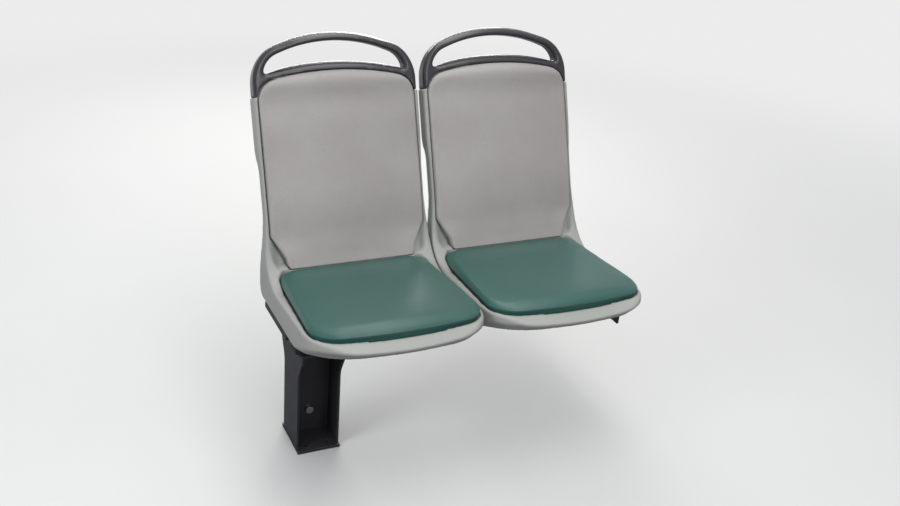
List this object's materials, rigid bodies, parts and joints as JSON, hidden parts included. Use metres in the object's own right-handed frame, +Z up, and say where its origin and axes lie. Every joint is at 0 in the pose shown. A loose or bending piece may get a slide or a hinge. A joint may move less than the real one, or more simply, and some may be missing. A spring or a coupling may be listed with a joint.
{
  "type": "bus passenger seat",
  "caption": "Moulded double passenger seat with padded backs and cushions, top grab handles, a floor leg at its aisle side and a wall plate.",
  "frame": {"origin": "on the floor, at the centre of the floor foot's bolt pattern, under the middle of the leg", "axes": "+X from the aisle to the side wall, -Y the way the passengers face, +Z up"},
  "size_m": [0.908, 0.6332, 0.9719],
  "materials": {
    "shell_plastic": "fine matt grain, warm light grey",
    "cover_plastic": "fine matt grain, light grey",
    "pad_vinyl": "soft grained vinyl, warm light grey",
    "cushion_vinyl": "soft grained vinyl, blue green",
    "handle_plastic": "satin moulded, charcoal",
    "black_steel": "satin black powder coat",
    "plug_plastic": "matt black",
    "zinc": "bright zinc plate"
  },
  "bodies": {
    "root": {"seat_shell_aisle": "shell_plastic", "rear_cover_aisle": "cover_plastic", "back_pad_aisle": "pad_vinyl", "seat_cushion_aisle": "cushion_vinyl", "grab_handle_aisle": "handle_plastic", "seat_stay_aisle_left": "black_steel", "seat_stay_aisle_right": "black_steel", "seat_shell_window": "shell_plastic", "rear_cover_window": "cover_plastic", "back_pad_window": "pad_vinyl", "seat_cushion_window": "cushion_vinyl", "grab_handle_window": "handle_plastic", "seat_stay_window_left": "black_steel", "seat_stay_window_right": "black_steel", "front_cross_tube": "black_steel", "rear_cross_tube": "black_steel", "aisle_side_rail": "black_steel", "wall_plate": "black_steel", "leg": "black_steel", "leg_saddle": "black_steel", "floor_foot": "black_steel", "front_tube_plug": "plug_plastic", "rear_tube_plug": "plug_plastic", "front_rail_plug": "plug_plastic", "rear_rail_plug": "plug_plastic", "leg_bolt": "zinc"}
  },
  "joints": []
}
